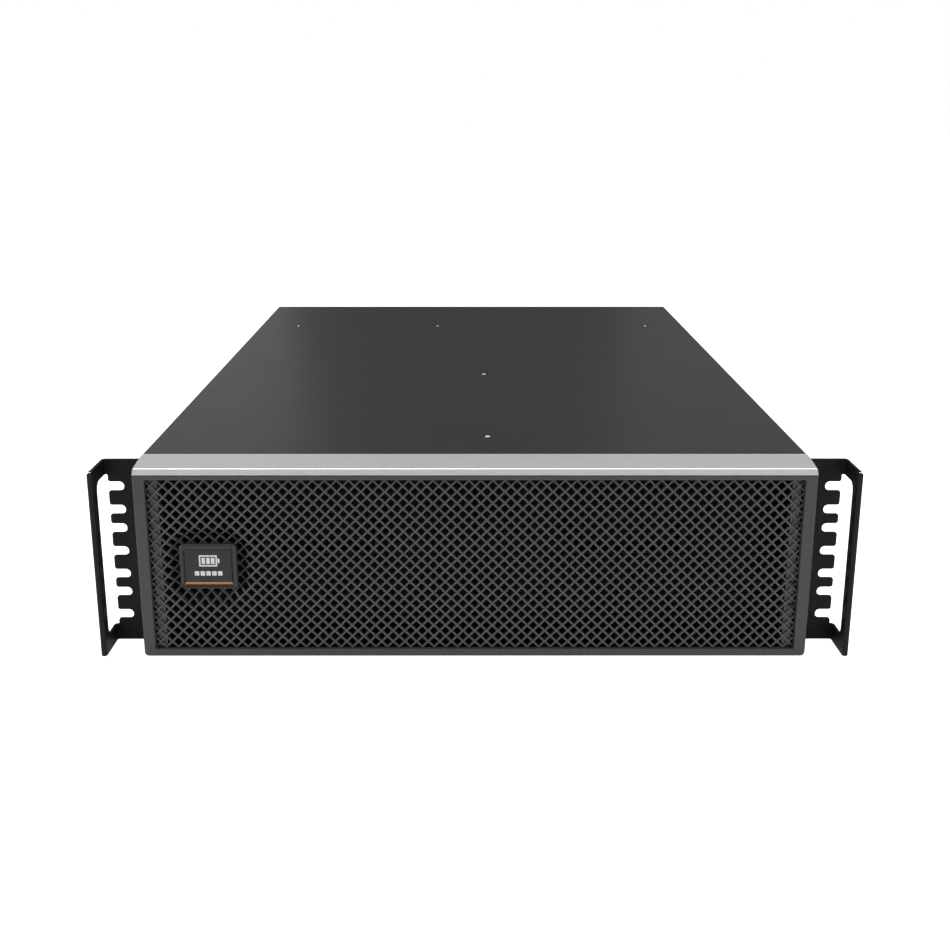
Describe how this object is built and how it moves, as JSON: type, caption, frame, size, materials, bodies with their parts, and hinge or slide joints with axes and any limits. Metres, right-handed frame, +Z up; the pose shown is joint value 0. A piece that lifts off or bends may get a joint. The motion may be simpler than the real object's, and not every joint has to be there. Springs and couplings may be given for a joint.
{
  "type": "rack battery cabinet",
  "caption": "Flat steel cabinet for a 19-inch rack: a lattice front bezel, slotted ears with pull grips, sliding trays of sealed batteries and a rear breaker.",
  "frame": {"origin": "middle of the case's underside, without the bezel", "axes": "+X to the right seen from the front, +Y from the bezel to the rear panel, +Z up"},
  "size_m": [0.4868, 0.6708, 0.1286],
  "materials": {
    "steel_paint": "matt black powder coat",
    "cover_paint": "fine-textured dark grey powder coat",
    "ear_paint": "satin black powder coat",
    "bare_steel": "zinc-coated sheet",
    "zinc": "bright zinc plate",
    "bezel_plastic": "fine-textured dark grey moulding",
    "grille_plastic": "matt dark grey moulding",
    "silver_paint": "satin silver paint",
    "badge_plastic": "satin black moulding",
    "badge_face": "printed face plate",
    "battery_case": "matt moulded block",
    "fibre_sheet": "electrical insulating board",
    "connector_plastic": "matt black moulding",
    "breaker_case": "grey moulded case",
    "toggle_plastic": "gloss black",
    "board_green": "green circuit board",
    "black_cable": "black cable sheath"
  },
  "bodies": {
    "chassis": {"base_pan": "steel_paint", "top_cover": "cover_paint", "front_frame": "steel_paint", "centre_partition": "bare_steel", "rear_bulkhead": "bare_steel", "rear_panel": "steel_paint", "rack_ear_left": "ear_paint", "rack_ear_right": "ear_paint", "cover_screw_1": "zinc", "cover_screw_2": "zinc", "cover_screw_3": "zinc", "cover_screw_4": "zinc", "cover_screw_5": "zinc", "tray_socket_left": "connector_plastic", "tray_socket_right": "connector_plastic", "breaker_body": "breaker_case", "dc_connector_upper": "connector_plastic", "dc_connector_lower": "connector_plastic", "detection_board": "board_green", "comm_ports": "connector_plastic", "ground_stud": "zinc", "feed_cable_left": "black_cable", "feed_cable_right": "black_cable", "outlet_loom": "black_cable"},
    "bezel": {"bezel_frame": "bezel_plastic", "bezel_trim": "silver_paint", "bezel_grille": "grille_plastic"},
    "badge": {"badge_shell": "badge_plastic", "badge_face": "badge_face"},
    "toggle": {"breaker_toggle": "toggle_plastic"},
    "tray_left": {"tray_pan_left": "bare_steel", "tray_face_left": "steel_paint", "thumbscrew_left_lower": "zinc", "thumbscrew_left_upper": "zinc", "insulator_left": "fibre_sheet", "tray_plug_left": "connector_plastic", "battery_left_1": "battery_case", "battery_left_2": "battery_case", "battery_left_3": "battery_case", "battery_left_4": "battery_case", "battery_left_5": "battery_case", "battery_left_6": "battery_case", "battery_left_7": "battery_case", "battery_left_8": "battery_case"},
    "handle_left": {"tray_handle_left": "zinc"},
    "tray_right": {"tray_pan_right": "bare_steel", "tray_face_right": "steel_paint", "thumbscrew_right_lower": "zinc", "thumbscrew_right_upper": "zinc", "insulator_right": "fibre_sheet", "tray_plug_right": "connector_plastic", "battery_right_1": "battery_case", "battery_right_2": "battery_case", "battery_right_3": "battery_case", "battery_right_4": "battery_case", "battery_right_5": "battery_case", "battery_right_6": "battery_case", "battery_right_7": "battery_case", "battery_right_8": "battery_case"},
    "handle_right": {"tray_handle_right": "zinc"}
  },
  "joints": [
    {"name": "bezel_slide", "type": "slide", "parent": "chassis", "child": "bezel", "axis": [0, -1, 0], "range_m": [0, 0.6]},
    {"name": "badge_turn", "type": "hinge", "parent": "bezel", "child": "badge", "pos_m": [-0.1704, -0.34275, 0.0614], "axis": [0, -1, 0], "range_deg": [0, 90]},
    {"name": "breaker_throw", "type": "hinge", "parent": "chassis", "child": "toggle", "pos_m": [-0.12, 0.31325, 0.063], "axis": [-1, 0, 0], "range_deg": [0, 56]},
    {"name": "tray_left_slide", "type": "slide", "parent": "chassis", "child": "tray_left", "axis": [0, -1, 0], "range_m": [0, 0.42]},
    {"name": "handle_left_fold", "type": "hinge", "parent": "tray_left", "child": "handle_left", "pos_m": [-0.1, -0.31915, 0.08], "axis": [-1, 0, 0], "range_deg": [0, 90]},
    {"name": "tray_right_slide", "type": "slide", "parent": "chassis", "child": "tray_right", "axis": [0, -1, 0], "range_m": [0, 0.42]},
    {"name": "handle_right_fold", "type": "hinge", "parent": "tray_right", "child": "handle_right", "pos_m": [0.1, -0.31915, 0.08], "axis": [-1, 0, 0], "range_deg": [0, 90]}
  ],
  "couplings": [
    {"joint": "tray_left_slide", "follows": "bezel_slide", "ratio": 0.7},
    {"joint": "tray_right_slide", "follows": "bezel_slide", "ratio": 0.7}
  ]
}
